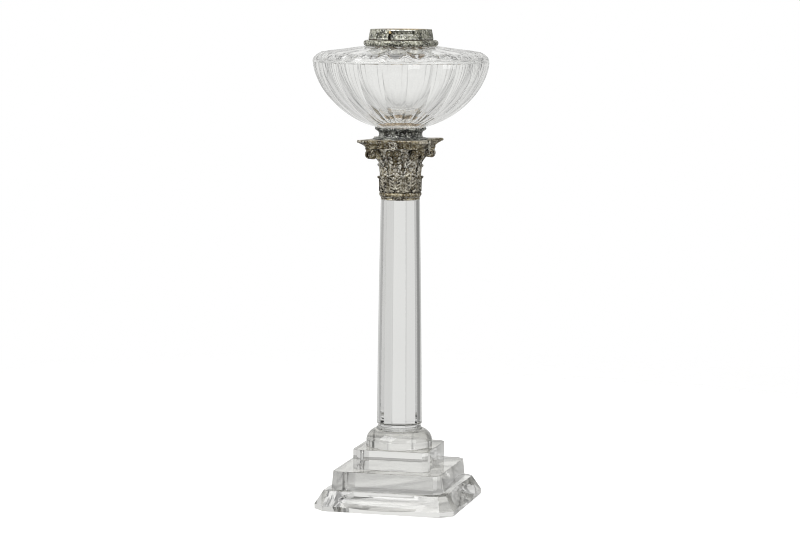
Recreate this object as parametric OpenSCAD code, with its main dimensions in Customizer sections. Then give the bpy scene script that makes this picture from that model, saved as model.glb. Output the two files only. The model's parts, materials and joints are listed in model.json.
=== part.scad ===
// Oil lamp: cut-glass font on a Corinthian metal capital, faceted glass column and stepped glass base.
// Millimetres, +Z up. The origin is the centre of the base's underside. The base's sides face X and Y.

/* [Base] */
// Width of the splayed foot across its rim
foot_w = 143; // [130:1:160]
// Height of the splayed foot
foot_h = 19; // [16:1:24]
// Height of the upright rim around the foot
rim_h = 5; // [4:0.5:6]
// Width of the flat top of the foot
foot_top_w = 125.4; // [120:0.2:128]
// Depth of the hollow cut into each sloping side of the foot
scoop_depth = 3; // [1:0.5:4]
// Width of the lower plinth at its foot
lower_w = 113.4; // [105:0.2:118]
// Height of the lower plinth
lower_h = 18.5; // [12:0.5:24]
// Width of the upper plinth
upper_w = 77.4; // [72:0.2:90]
// Height of the upper plinth
upper_h = 20; // [14:0.5:26]
// Radius of the round tier
tier_r = 33.3; // [30:0.1:36]
// Height of the round tier
tier_h = 17; // [14:0.5:20]

/* [Column] */
// Number of flat facets on the column
column_sides = 10; // [8:1:12]
// Radius over the facet edges at the column's foot
column_r_low = 22.7; // [21:0.1:24]
// Radius over the facet edges at the column's head
column_r_high = 19.6; // [19:0.1:20]
// Height of the column between the round tier and the capital
column_h = 232; // [150:1:300]

/* [Capital] */
// Distance from the axis to each corner tip of the abacus
abacus_tip = 49; // [46:0.5:52]
// Distance from the axis to the middle of each hollowed side of the abacus
abacus_mid = 29; // [28:0.5:31]
// Height of the capital from ferrule to abacus top
capital_h = 60.3; // [58:0.1:64]
// Number of leaves in each row
leaf_count = 8; // [8:1:8]

/* [Font] */
// Largest radius of the glass font
font_r = 88; // [84:0.5:92]
// Height of the bowl from its seat to its widest point
bowl_h = 65.3; // [60:0.1:70]
// Height of the shoulder above the widest point
shoulder_h = 15.2; // [13:0.1:18]
// Number of flutes round the bowl, and of petals on the shoulder
flute_count = 22; // [16:1:28]
// Depth of each flute at the widest point
flute_depth = 2; // [0.5:0.1:2.5]
// Thickness of the glass wall
wall = 5.8; // [5:0.1:7]

/* [Burner fitting] */
// Radius of the bead round the burner collar
bead_r = 37.4; // [36:0.1:40]
// Radius of the hole that takes the burner
burner_bore_r = 25; // [24:0.1:25.5]
// Angle that the bayonet ring turns through to lock
lock_angle = 42; // [20:1:44]

/* [Hidden] */
$fn = 96;
eps = 0.01;
film = 0.2;

// heights of the joints, from the table upwards
lower_z = foot_h + film;
upper_z = lower_z + lower_h;
tier_z = upper_z + upper_h;
column_z = tier_z + tier_h;
capital_z = column_z + column_h;
abacus_z = capital_z + capital_h;

// base
foot_clip = 11.5;
lower_clip = 7;
lower_draft = 1.7;
upper_clip = 5;
tier_rim = 7;
tier_bevel_power = 1.6;
tier_top_r = 24.2;
scoop_sweep_r = 361;
scoop_tube_r = 25;
column_foot_h = 5.6;
facet_turn = 12;
entasis = 0.35;
tenon_r = 14;
tenon_h = 32;

// capital, measured up from capital_z
ferrule_h = 3.2;
astragal_h = 4.6;
astragal_r = 21.3;
bell_z = ferrule_h + astragal_h;
bell_r = 18.4;
bell_bore = 16.4;
bell_lip_z = 51.5;
bell_lip_r = 27;
band = 0.7;
leaf_thick = 0.8;
plaster_h = 35;
abacus_plate = 2.5;
abacus_cove = 6.3;
volute_r = 5.8;
volute_out = 35;
volute_z = 45.7;
volute_w = 5;
side_hollow_r = 71.6;
tip_w = 6;
socket_r = 14;

// screw between the capital and the font
stem_r = 10;
stem_gap = 0.05;
stem_drop = 11.3;

// direction of one of the ridges between the flutes
ridge_turn = -70.8;
petal_depth = 1.6;

// font seat and undermount, measured up from abacus_z
seat_h = 2.2;
seat_r = 27.5;
seat_bore = 12;
neck_r = 21.9;
under_h = 9.7;
under_r = 25.8;
cup_r = 19;
cup_floor = 2.4;
peg_r = 14.5;
peg_h = 5;
font_z = abacus_z + seat_h + under_h;
girdle_z = font_z + bowl_h;
collar_z = girdle_z + shoulder_h;

// burner fitting, measured up from collar_z
glass_neck_r = 25;
glass_neck_bore = 21;
glass_neck_h = 8;
bead_h = 6;
tube_r = 28.9;
tube_bore = 27.2;
tube_h = 15.2;
washer_h = 0.8;
ring_low_r = 32.4;
ring_high_r = 30.6;
ring_bore = 29.4;
ring_h = 10;
ring_lip = 1.1;
sleeve_r = 26.2;
sleeve_h = 8.2;
pin_r = 1.4;
pin_out = 32.2;
pin_z = 13.7;
slot_half = 1.7;
slot_start = -95.5;
ring_z = collar_z + bead_h + washer_h;

// square with its corners cut off
module clipped_square(w, clip) {
    h = w / 2;
    polygon([[h, clip - h], [h, h - clip], [h - clip, h], [clip - h, h],
        [-h, h - clip], [-h, clip - h], [clip - h, -h], [h - clip, -h]]);
}

// block between two clipped squares
module clipped_block(w_low, w_high, h, clip) {
    linear_extrude(h, scale = w_high / w_low)
        clipped_square(w_low, clip);
}

// ring with a bore
module ring(r, bore, h) {
    difference() {
        cylinder(r = r, h = h);
        translate([0, 0, -1])
            cylinder(r = bore, h = h + 2);
    }
}

// ---- glass base and column ----

module foot() {
    rise = foot_h - rim_h;
    run = (foot_w - foot_top_w) / 2;
    tilt = atan2(run, rise);
    color([0.86, 0.9, 0.92, 0.5])
        difference() {
            union() {
                linear_extrude(rim_h)
                    clipped_square(foot_w, foot_clip);
                translate([0, 0, rim_h])
                    clipped_block(foot_w, foot_top_w, rise, foot_clip);
            }
            for (side = [0:3])
                rotate(90 * side)
                    translate([0, (foot_w + foot_top_w) / -4, rim_h + rise / 2])
                        rotate([-tilt, 0, 0])
                            translate([0, scoop_depth - scoop_sweep_r, 0])
                                rotate(90 - 12)
                                    rotate_extrude(angle = 24)
                                        translate([scoop_sweep_r - scoop_tube_r, 0])
                                            circle(r = scoop_tube_r);
        }
}

module lower_plinth() {
    color([0.86, 0.9, 0.92, 0.5])
        translate([0, 0, lower_z])
            clipped_block(lower_w, lower_w - 2 * lower_draft, lower_h - film, lower_clip);
}

module upper_plinth() {
    color([0.86, 0.9, 0.92, 0.5])
        translate([0, 0, upper_z])
            linear_extrude(upper_h - film)
                clipped_square(upper_w, upper_clip);
}

// disc with a convex bevel that runs up to the column's foot
module round_tier() {
    bevel_h = tier_h - film - tier_rim;
    bevel_w = tier_r - tier_top_r;
    steps = 7;
    curve = [for (k = [0:steps]) let(rise = sin(90 * k / steps))
        [tier_top_r + bevel_w * pow(1 - pow(rise, tier_bevel_power), 1 / tier_bevel_power),
            tier_rim + bevel_h * rise]];
    color([0.86, 0.9, 0.92, 0.5])
        translate([0, 0, tier_z])
            rotate_extrude()
                polygon(concat([[0, 0], [tier_r, 0]], curve, [[0, tier_h - film]]));
}

// radius over the facet edges at a share t of the shaft's height
function shaft_r(t) = column_r_low + (column_r_high - column_r_low) * t + entasis * sin(180 * t);

module column() {
    bands = 4;
    shaft_z = column_foot_h;
    shaft_h = column_h - shaft_z;
    color([0.86, 0.9, 0.92, 0.5])
        translate([0, 0, column_z])
            rotate(facet_turn) {
                cylinder(r1 = column_r_low + 1, r2 = column_r_low + 0.4, h = shaft_z, $fn = column_sides);
                for (k = [0:bands - 1])
                    translate([0, 0, shaft_z + shaft_h * k / bands])
                        cylinder(r1 = shaft_r(k / bands), r2 = shaft_r((k + 1) / bands),
                            h = shaft_h / bands, $fn = column_sides);
                translate([0, 0, column_h - 1])
                    cylinder(r = tenon_r, h = tenon_h + 1);
            }
}

// clear cement in the joints between the five pieces of the glass stand
module glass_cement() {
    color([0.93, 0.93, 0.86, 0.6]) {
        translate([0, 0, lower_z - film])
            linear_extrude(film)
                clipped_square(lower_w - 1, lower_clip);
        translate([0, 0, upper_z - film])
            linear_extrude(film)
                clipped_square(upper_w - 1, upper_clip);
        translate([0, 0, tier_z - film])
            cylinder(r = tier_r - 0.5, h = film);
        translate([0, 0, column_z - film])
            cylinder(r = column_r_low - 1.2, h = film);
    }
}

// ---- capital ----

module column_plaster() {
    color([0.82, 0.77, 0.66])
        translate([0, 0, capital_z])
            difference() {
                cylinder(r = bell_bore, h = plaster_h);
                translate([0, 0, -1])
                    cylinder(r = tenon_r, h = tenon_h + 1);
            }
}

module ferrule() {
    color([0.42, 0.41, 0.34])
        translate([0, 0, capital_z])
            rotate_extrude()
                polygon([[bell_bore, 0], [19.2, 0], [19.6, 0.8], [19.6, 2.4], [20.2, ferrule_h],
                    [bell_bore, ferrule_h]]);
}

module astragal() {
    bead = astragal_h / 2;
    color([0.5, 0.49, 0.42])
        translate([0, 0, capital_z + ferrule_h])
            rotate_extrude() {
                translate([bell_bore, 0])
                    square([astragal_r - bead - bell_bore, astragal_h]);
                intersection() {
                    translate([astragal_r - bead, bead])
                        circle(r = bead);
                    translate([bell_bore, 0])
                        square([10, astragal_h]);
                }
            }
}

// solid outline of the bell, without its bore
module bell_solid() {
    translate([0, 0, capital_z + bell_z])
        rotate_extrude()
            polygon([[0, 0], [bell_r, 0], [bell_r, 27], [19.6, 32], [22, 37.5], [25.4, 41.5],
                [bell_lip_r, 43.2], [bell_lip_r, bell_lip_z - bell_z], [0, bell_lip_z - bell_z]]);
}

module capital_bell() {
    color([0.33, 0.31, 0.25])
        difference() {
            bell_solid();
            translate([0, 0, capital_z])
                cylinder(r = bell_bore, h = abacus_z);
        }
}

// middle line of a leaf at a share t of its length: [distance from the axis, height]
// the last fifth curls outwards and down again
function leaf_rise(t) = t < 0.8 ? 1.22 * t : 0.976 + 0.12 * sin(900 * (t - 0.8));
function leaf_line(t, foot_r, tip_r, tip_z) =
    [foot_r + 0.9 * t + (tip_r - foot_r - 0.9) * pow(t, 5), tip_z * leaf_rise(t)];

// half width of a leaf at a share t of its length, in degrees round the axis
function leaf_half(t, span) = span * (t < 0.55 ? 1 : 1 - 0.85 * pow((t - 0.55) / 0.45, 1.6));

// one curled leaf as a closed sheet
module leaf(foot_r, tip_r, tip_z, span, thick) {
    rows = 9;
    cols = 6;
    side = [for (skin = [0, 1], i = [0:rows], j = [0:cols])
        let(t = i / rows, s = 2 * j / cols - 1, p = leaf_line(t, foot_r, tip_r, tip_z))
        let(a = s * leaf_half(t, span), r = p[0] - 0.5 * s * s - thick * skin)
        [r * cos(a), r * sin(a), p[1]]];
    skin_size = (rows + 1) * (cols + 1);
    step = cols + 1;
    front = [for (i = [0:rows - 1], j = [0:cols - 1]) let(k = i * step + j)
        each [[k, k + step, k + 1], [k + 1, k + step, k + step + 1]]];
    back = [for (f = front) [f[2] + skin_size, f[1] + skin_size, f[0] + skin_size]];
    rim = concat(
        [for (j = [0:cols]) j],
        [for (i = [1:rows]) i * step + cols],
        [for (j = [1:cols]) rows * step + cols - j],
        [for (i = [1:rows - 1]) (rows - i) * step]);
    edge = [for (k = [0:len(rim) - 1]) let(a = rim[k], b = rim[(k + 1) % len(rim)])
        each [[a, b, b + skin_size], [a, b + skin_size, a + skin_size]]];
    polyhedron(points = side, faces = concat(front, back, edge), convexity = 4);
}

module lower_leaves() {
    color([0.48, 0.46, 0.38])
        translate([0, 0, capital_z + bell_z]) {
            ring(bell_r + band, bell_r, 3.5);
            for (k = [0:leaf_count - 1])
                rotate((k + 0.5) * 360 / leaf_count)
                    leaf(bell_r + 1.9, 22.9, 13.5, 21, leaf_thick);
        }
}

module upper_leaves() {
    low = 4;
    color([0.45, 0.43, 0.36])
        translate([0, 0, capital_z + bell_z + low]) {
            ring(bell_r + 0.4, bell_r, 18);
            for (k = [0:leaf_count - 1])
                rotate(k * 360 / leaf_count)
                    translate([0, 0, 8])
                        leaf(bell_r + 1.6, 23.4, 14.5, 17, leaf_thick);
        }
}

// small scrolls that lean together at the middle of each side
module helices() {
    color([0.46, 0.44, 0.36])
        difference() {
            for (side = [0:3], hand = [-1, 1])
                rotate(90 * side - 90)
                    translate([0, 3.7 * hand, capital_z]) {
                        translate([24, 0, 45.5])
                            rotate([0, 90, 0])
                                cylinder(r = 3.2, h = 5);
                        translate([21, -0.8 + 0.8 * hand, 36])
                            cube([3, 1.6, 9]);
                    }
            bell_solid();
        }
}

// scrolls under the corners of the abacus, each on a stalk that springs from the bell
module corner_volutes() {
    color([0.5, 0.47, 0.38])
        difference() {
            for (corner = [0:3])
                rotate(90 * corner + 45)
                    translate([0, volute_w / 2, capital_z])
                        rotate([90, 0, 0])
                            linear_extrude(volute_w) {
                                translate([volute_out, volute_z])
                                    circle(r = volute_r);
                                polygon([[20.4, 35.5], [23.2, 36.5], [27, 43], [31, 48.5], [35, bell_lip_z],
                                    [27, bell_lip_z], [22, 44]]);
                            }
            bell_solid();
        }
}

// outline of the abacus: four points joined by hollowed sides
module abacus_outline(shrink) {
    tip = abacus_tip - shrink;
    reach = tip * sqrt(2);
    difference() {
        intersection() {
            square(2 * (tip / sqrt(2) + tip_w / 3), center = true);
            rotate(45)
                square(2 * tip, center = true);
        }
        for (side = [0:3])
            rotate(90 * side)
                translate([abacus_mid - shrink + side_hollow_r, 0])
                    circle(r = side_hollow_r, $fn = 180);
    }
}

// solid outline of the abacus, without its hole: a flat plate over three shrinking steps
module abacus_solid() {
    cove = abacus_cove / 3;
    translate([0, 0, abacus_z - abacus_plate])
        linear_extrude(abacus_plate)
            abacus_outline(0);
    for (k = [0:2])
        translate([0, 0, capital_z + bell_lip_z + cove * k])
            linear_extrude(cove)
                abacus_outline(9 - k - k * k);
}

module abacus() {
    color([0.45, 0.43, 0.36])
        difference() {
            abacus_solid();
            cylinder(r = socket_r, h = 2 * abacus_z);
        }
}

// flowers on the middle of each side of the abacus
module fleurons() {
    reach = 30.6;
    color([0.5, 0.47, 0.38])
        difference() {
            for (side = [0:3])
                rotate(90 * side - 90)
                    translate([reach, 0, abacus_z - 6.5])
                        rotate([0, -90, 0]) {
                            translate([0, 0, -1])
                                cylinder(r = 1.6, h = 8);
                            for (petal = [0:5])
                                rotate(60 * petal)
                                    translate([2.4, 0, 0])
                                        cylinder(r = 1.5, h = 2.6);
                        }
            abacus_solid();
        }
}

// tube in the capital that takes the font's screw
module font_socket() {
    color([0.66, 0.56, 0.32])
        translate([0, 0, abacus_z])
            difference() {
                union() {
                    translate([0, 0, -18])
                        cylinder(r = socket_r, h = 18);
                    translate([0, 0, bell_lip_z - capital_h - 2])
                        cylinder(r = bell_bore - 0.2, h = 2);
                }
                translate([0, 0, -19])
                    cylinder(r = stem_r + stem_gap, h = 20);
            }
}

// ---- font ----

// loose ring between the capital and the undermount, bevelled outside
module seat_ring() {
    color([0.55, 0.54, 0.47])
        translate([0, 0, abacus_z])
            rotate_extrude()
                polygon([[seat_bore, 0], [seat_r - 0.3, 0], [seat_r, 0.3], [seat_r, 0.8],
                    [neck_r + 0.8, seat_h], [seat_bore, seat_h]]);
}

module undermount() {
    color([0.5, 0.5, 0.45])
        translate([0, 0, abacus_z + seat_h]) {
            rotate_extrude()
                difference() {
                    polygon([[0, 0], [neck_r + 0.6, 0], [neck_r, 0.8], [neck_r, 4.8], [neck_r + 0.8, 6],
                        [under_r - 0.8, 7.3], [under_r, 8], [under_r, under_h - 0.4],
                        [under_r - 0.4, under_h], [0, under_h]]);
                    translate([-1, cup_floor])
                        square([cup_r + 1, under_h]);
                }
            translate([0, 0, -seat_h - stem_drop])
                cylinder(r = stem_r, h = seat_h + stem_drop + eps);
        }
}

module undermount_plaster() {
    color([0.78, 0.7, 0.55])
        translate([0, 0, abacus_z + seat_h + cup_floor])
            difference() {
                cylinder(r = cup_r, h = under_h - cup_floor);
                translate([0, 0, under_h - cup_floor - peg_h])
                    cylinder(r = peg_r, h = peg_h + 1);
            }
}

// radius of the bowl at a height below the girdle, for an outer or inner skin
function bowl_r(r, depth, drop) = r * sqrt(max(0, 1 - pow(drop / depth, 1.7)));

// height of the shoulder above the girdle at radius r, for an outer or inner skin
function shoulder_z(r, edge, rise) = rise * sqrt(max(0, 1 - pow(r / edge, 3.6)));

// share of a flute's depth at angle a, where a ridge stands at ridge_turn
function hollow(a) = let(s = (a - ridge_turn) * flute_count / 360, f = s - floor(s)) 4 * f * (1 - f);

// glass outside: fluted bowl, plain girdle and petalled shoulder
module font_outside() {
    per_flute = 4;
    cols = flute_count * per_flute;
    bowl_rows = 12;
    crown_rows = 7;
    bowl_depth = bowl_h + 3.2;
    bowl = [for (i = [0:bowl_rows]) let(drop = bowl_h * cos(90 * i / bowl_rows) + 0.4)
        let(z = girdle_z - min(drop, bowl_h), r = bowl_r(font_r, bowl_depth, girdle_z - z))
        [for (j = [0:cols - 1]) let(a = ridge_turn + 360 * j / cols)
            let(q = r - flute_depth * r / font_r * hollow(a)) [q * cos(a), q * sin(a), z]]];
    girdle = [for (i = [0:2])
        [for (j = [0:cols - 1]) let(a = ridge_turn + 360 * j / cols)
            [font_r * cos(a), font_r * sin(a), girdle_z + [0, 1, 2.2][i]]]];
    crown = [for (i = [1:crown_rows]) let(s = i / crown_rows, r = font_r - (font_r - bead_r - 0.5) * s * s)
        [for (j = [0:cols - 1]) let(a = ridge_turn + 360 * j / cols)
            [r * cos(a), r * sin(a), girdle_z + max(2.4 + s, shoulder_z(r, font_r + 0.4, shoulder_h)
                - petal_depth * hollow(a) * sin(180 * min(1, s + 0.25)))]]];
    rings = concat(bowl, girdle, crown);
    last = len(rings) - 1;
    points = [for (ring = rings, p = ring) p];
    sides = [for (i = [0:last - 1], j = [0:cols - 1])
        let(k = i * cols + j, n = i * cols + (j + 1) % cols)
        each [[k, k + cols, n], [n, k + cols, n + cols]]];
    bottom = [[for (j = [0:cols - 1]) j]];
    top = [[for (j = [0:cols - 1]) last * cols + cols - 1 - j]];
    polyhedron(points = points, faces = concat(sides, bottom, top), convexity = 6);
}

module font() {
    steps = 14;
    inner_r = font_r - wall;
    inner_depth = bowl_h - wall - 1;
    inner_rise = shoulder_h - 5;
    low = [for (k = [0:steps]) let(drop = inner_depth * cos(90 * k / steps))
        [bowl_r(inner_r, inner_depth, drop), -drop]];
    high = [for (k = [1:steps - 2]) let(r = inner_r * cos(90 * k / steps))
        [r, shoulder_z(r, inner_r, inner_rise)]];
    color([0.88, 0.92, 0.94, 0.4])
        difference() {
            union() {
                font_outside();
                translate([0, 0, font_z - peg_h])
                    cylinder(r = peg_r, h = peg_h + 2);
                translate([0, 0, collar_z - 2.5])
                    cylinder(r = bead_r - 1.4, h = 2.5);
                translate([0, 0, collar_z - 1])
                    cylinder(r = glass_neck_r, h = glass_neck_h + 1);
            }
            translate([0, 0, girdle_z])
                rotate_extrude()
                    polygon(concat([[0, -inner_depth]], low, high, [[0, inner_rise]]));
            translate([0, 0, girdle_z])
                cylinder(r = glass_neck_bore, h = shoulder_h + glass_neck_h + 1);
        }
}

// ---- burner fitting ----

module collar_plaster() {
    color([0.78, 0.7, 0.55])
        translate([0, 0, collar_z])
            ring(tube_bore, glass_neck_r, glass_neck_h);
}

module burner_collar() {
    color([0.5, 0.5, 0.43])
        translate([0, 0, collar_z])
            difference() {
                union() {
                    ring(tube_r, tube_bore, tube_h);
                    rotate_extrude() {
                        translate([tube_bore, 0])
                            square([bead_r - 3 - tube_bore, bead_h]);
                        translate([bead_r - 3, 3])
                            circle(r = 3);
                    }
                }
                pin_row(tube_bore - 2, tube_r + 4);
            }
}

// the two bayonet pins, or the holes for them
module pin_row(from, to) {
    for (half = [0, 180])
        rotate(slot_start + half)
            translate([from, 0, pin_z])
                rotate([0, 90, 0])
                    cylinder(r = pin_r, h = to - from, $fn = 48);
}

module bayonet_pins() {
    color([0.7, 0.68, 0.6])
        translate([0, 0, collar_z])
            pin_row(tube_bore + 0.1, pin_out);
}

module packing_washer() {
    color([0.24, 0.18, 0.12])
        translate([0, 0, collar_z + bead_h])
            ring(32, ring_bore, washer_h);
}

// slot that drops over a pin and then runs sideways along it
module bayonet_slot() {
    leg_z = collar_z + pin_z - slot_half;
    rotate(slot_start)
        translate([tube_r, -slot_half, ring_z - 1])
            cube([8, 2 * slot_half, leg_z + 2 * slot_half - ring_z + 1]);
    translate([0, 0, leg_z])
        rotate(slot_start)
            rotate_extrude(angle = lock_angle + 4)
                translate([tube_r, 0])
                    square([8, 2 * slot_half]);
}

module bayonet_ring() {
    color([0.52, 0.51, 0.43])
        difference() {
            translate([0, 0, ring_z])
                rotate_extrude()
                    polygon([[ring_bore, 0], [ring_low_r, 0], [ring_high_r, ring_h],
                        [sleeve_r, ring_h], [sleeve_r, ring_h - ring_lip], [ring_bore, ring_h - ring_lip]]);
            for (half = [0, 180])
                rotate(half)
                    bayonet_slot();
        }
}

// inner tube of the bayonet ring, which holds the burner
module burner_sleeve() {
    color([0.6, 0.55, 0.4])
        translate([0, 0, ring_z + ring_h - sleeve_h])
            ring(sleeve_r, burner_bore_r, sleeve_h);
}

foot();
lower_plinth();
upper_plinth();
round_tier();
column();
glass_cement();
column_plaster();
ferrule();
astragal();
capital_bell();
lower_leaves();
upper_leaves();
helices();
corner_volutes();
fleurons();
abacus();
font_socket();
seat_ring();
undermount();
undermount_plaster();
font();
collar_plaster();
burner_collar();
bayonet_pins();
packing_washer();
bayonet_ring();
burner_sleeve();
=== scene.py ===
"""Oil lamp: cut-glass font on a Corinthian metal capital, glass column and stepped glass base.

Every piece is built in metres in the CAD frame: +Z up, the origin under the middle of the base.
"""

import json
from math import asin, atan2, cos, exp, pi, radians, sin, sqrt, tan

import bpy
from mathutils import Euler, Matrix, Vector

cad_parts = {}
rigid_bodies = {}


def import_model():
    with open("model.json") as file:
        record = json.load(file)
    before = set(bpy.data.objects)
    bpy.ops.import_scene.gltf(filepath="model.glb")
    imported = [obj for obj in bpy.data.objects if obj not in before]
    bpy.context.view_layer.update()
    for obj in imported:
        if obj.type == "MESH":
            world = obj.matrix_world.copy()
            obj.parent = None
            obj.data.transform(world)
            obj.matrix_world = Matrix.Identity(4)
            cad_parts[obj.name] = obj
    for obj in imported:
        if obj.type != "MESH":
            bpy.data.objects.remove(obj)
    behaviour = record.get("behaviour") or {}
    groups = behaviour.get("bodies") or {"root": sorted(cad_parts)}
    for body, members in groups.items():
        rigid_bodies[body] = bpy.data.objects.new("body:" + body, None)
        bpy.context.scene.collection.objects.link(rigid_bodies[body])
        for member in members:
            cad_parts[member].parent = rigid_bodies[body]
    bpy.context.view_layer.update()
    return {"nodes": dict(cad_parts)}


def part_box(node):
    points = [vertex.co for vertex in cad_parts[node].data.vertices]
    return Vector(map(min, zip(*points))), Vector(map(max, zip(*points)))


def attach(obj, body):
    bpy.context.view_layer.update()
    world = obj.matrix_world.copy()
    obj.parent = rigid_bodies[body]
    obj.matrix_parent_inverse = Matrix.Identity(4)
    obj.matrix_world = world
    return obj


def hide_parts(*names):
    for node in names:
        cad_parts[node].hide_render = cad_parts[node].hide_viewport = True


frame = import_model()

MM = 0.001
TURN = 2 * pi
UP = Vector((0, 0, 1))
ON_AXIS = 0.001 * MM


# ------------ Sizes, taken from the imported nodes


def low(node):
    """Height of a node's underside."""
    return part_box(node)[0].z


def high(node):
    """Height of a node's top."""
    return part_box(node)[1].z


def span(node):
    return low(node), high(node)


def reach(node):
    """How far a node reaches from the axis along X."""
    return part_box(node)[1].x


FOOT_HALF = reach("foot")
FOOT_TOP_HALF = FOOT_HALF - 8.8 * MM
RIM_H = 5 * MM
FOOT_CLIP = 11.5 * MM
SCOOP_DEPTH = 3 * MM
SCOOP_SWEEP = 361 * MM
SCOOP_TUBE = 25 * MM
LOWER_HALF = reach("lower_plinth")
LOWER_CLIP = 7 * MM
LOWER_DRAFT = 1.7 * MM
UPPER_HALF = reach("upper_plinth")
UPPER_CLIP = 5 * MM
CORNER_EASE = tan(pi / 8)
CLIP_SHRINK = 2 - sqrt(2)
TIER_R = reach("round_tier")
TIER_RIM = 7 * MM
TIER_POWER = 1.6
JOINT_LAP = 0.03 * MM

COLUMN_SIDES = 10
COLUMN_R_LOW = 22.7 * MM
COLUMN_R_HIGH = 19.6 * MM
COLUMN_TURN = radians(12)
COLUMN_FOOT_H = 5.6 * MM
ENTASIS = 0.35 * MM
TENON_R = 14 * MM

GIRDLE_R = 88 * MM
GIRDLE_Z = low("undermount_plaster") + 72.6 * MM
FONT_SEAT_Z = high("undermount")
SHOULDER_Z = low("burner_collar")
SHOULDER_H = SHOULDER_Z - GIRDLE_Z
SHOULDER_POWER = 4.6
BOWL_H = GIRDLE_Z - FONT_SEAT_Z
BOTTOM_H = 6.8 * MM
PEG_R = 14.5 * MM
PEG_H = 5 * MM
NECK_R = 25 * MM
NECK_BORE = 21 * MM
NECK_H = 8 * MM
FLUTES = 22
FLUTE_STEPS = 20
FLUTE_DEPTH = 2 * MM
RIDGE_TURN = radians(-70.8)
PETAL_START = 38 * MM
PETAL_RUN = 49 * MM
PETAL_HOLLOW = 16.1
PETAL_DIP = 0.85 * MM
PETAL_CHAMFER = 0.8 * MM


# ------------ Points and meshes


def lerp(a, b, t):
    return a + (b - a) * t


def around(count):
    """Evenly spaced angles of a full turn."""
    return [TURN * k / count for k in range(count)]


def spread(start, end, steps, first=0):
    """Evenly spaced values from start to end; first says which step to begin with."""
    return [start + (end - start) * k / steps for k in range(first, steps + 1)]


def polar(r, a, z):
    return Vector((r * cos(a), r * sin(a), z))


def circle(r, z, angles):
    """Points at the given angles about the axis."""
    return [polar(r, a, z) for a in angles]


def facing(a):
    """Unit vectors away from the axis and to the left of that, at an angle."""
    out = polar(1, a, 0)
    return out, Vector((-out.y, out.x, 0))


def disc(middle, u, v, radius, count):
    """Points round a middle, in the plane of the unit vectors u and v."""
    return [middle + (u * cos(a) + v * sin(a)) * radius for a in around(count)]


def quarter_turns(x, y, z, count):
    """A point turned about the axis by a number of right angles."""
    for _ in range(count):
        x, y = -y, x
    return x, y, z


def above(level, *points):
    """An outline in metres from points given in millimetres from the axis and above a level."""
    return [(r * MM, level + z * MM) for r, z in points]


def bead(r, z, radius, share, steps):
    """The outside of a round bead about a centre: a share of its outer half turn."""
    limit = pi / 2 * share
    return [(r + radius * cos(a), z + radius * sin(a)) for a in spread(-limit, limit, steps)]


def rounded(outline, radius, closed=True):
    """The outline with each corner replaced by a small arc."""
    steps = 3
    nearly_straight = radians(174)
    result = []
    for i, corner in enumerate(outline):
        here = Vector(corner)
        back = Vector(outline[i - 1]) - here
        ahead = Vector(outline[(i + 1) % len(outline)]) - here
        turn = back.angle(ahead)
        if turn > nearly_straight or (not closed and i in (0, len(outline) - 1)):
            result.append(tuple(here))
            continue
        cut = min(radius / tan(turn / 2), 0.45 * back.length, 0.45 * ahead.length)
        first = here + back.normalized() * cut
        final = here + ahead.normalized() * cut
        for t in spread(0, 1, steps):
            result.append(tuple(first * (1 - t) ** 2 + here * 2 * t * (1 - t) + final * t * t))
    return result


def add_mesh(name, points, faces, sharp=30):
    """A mesh object with smooth faces and sharp edges above an angle in degrees."""
    mesh = bpy.data.meshes.new(name)
    mesh.from_pydata([tuple(p) for p in points], [], faces)
    mesh.validate()
    mesh.polygons.foreach_set("use_smooth", [True] * len(mesh.polygons))
    if sharp < 180:
        mesh.set_sharp_from_angle(angle=radians(sharp))
    piece = bpy.data.objects.new(name, mesh)
    bpy.context.scene.collection.objects.link(piece)
    return piece


def loft_faces(rings, count, close_ends=True):
    """Quads between rings of count points each, in order from bottom to top, plus end caps."""
    faces = []
    for i in range(rings - 1):
        for j in range(count):
            a = i * count + j
            b = i * count + (j + 1) % count
            faces.append((a, b, b + count, a + count))
    if close_ends:
        top = (rings - 1) * count
        faces.append(tuple(reversed(range(count))))
        faces.append(tuple(range(top, top + count)))
    return faces


def solid(rings):
    """The points and faces of a closed solid through rings of equal point count."""
    return [p for ring in rings for p in ring], loft_faces(len(rings), len(rings[0]))


def loft(name, rings, sharp=30):
    return add_mesh(name, *solid(rings), sharp)


def revolve(name, outline, steps=160, sharp=35, closed=False, wear=None):
    """A solid of revolution through (radius, height) points, listed upwards on the outside.

    A closed outline is a loop that makes a ring. An open one starts and ends on the axis or as a flat cap.
    wear(radius, angle) may return a changed radius.
    """
    points = []
    for r, z in outline:
        points += [polar(wear(r, a) if wear else r, a, z) for a in around(steps)]
    faces = loft_faces(len(outline), steps, not closed)
    if closed:
        top = (len(outline) - 1) * steps
        for j in range(steps):
            k = (j + 1) % steps
            faces.append((top + j, top + k, k, j))
    return add_mesh(name, points, faces, sharp)


def merge(name, parts, sharp=50):
    """One mesh object out of (points, faces) pairs."""
    points, faces = [], []
    for part_points, part_faces in parts:
        faces += [tuple(k + len(points) for k in face) for face in part_faces]
        points += part_points
    return add_mesh(name, points, faces, sharp)


def join(name, pieces):
    """One object made of several."""
    target = pieces[0]
    with bpy.context.temp_override(active_object=target, selected_editable_objects=pieces):
        bpy.ops.object.join()
    target.name = name
    target.data.name = name
    return target


# ------------ Glass base


def clipped_ring(half, clip, z):
    """A square ring of points with its four corners clipped and every angle slightly rounded."""
    turn_r = 0.3 * MM
    far = half - turn_r
    near = half - clip - CORNER_EASE * turn_r
    points = []
    for quarter in range(4):
        for x, y, first in ((far, near, 0), (near, far, pi / 4)):
            for a in spread(first, first + pi / 4, 3):
                points.append(quarter_turns(x + turn_r * cos(a), y + turn_r * sin(a), z, quarter))
    return points


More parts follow.
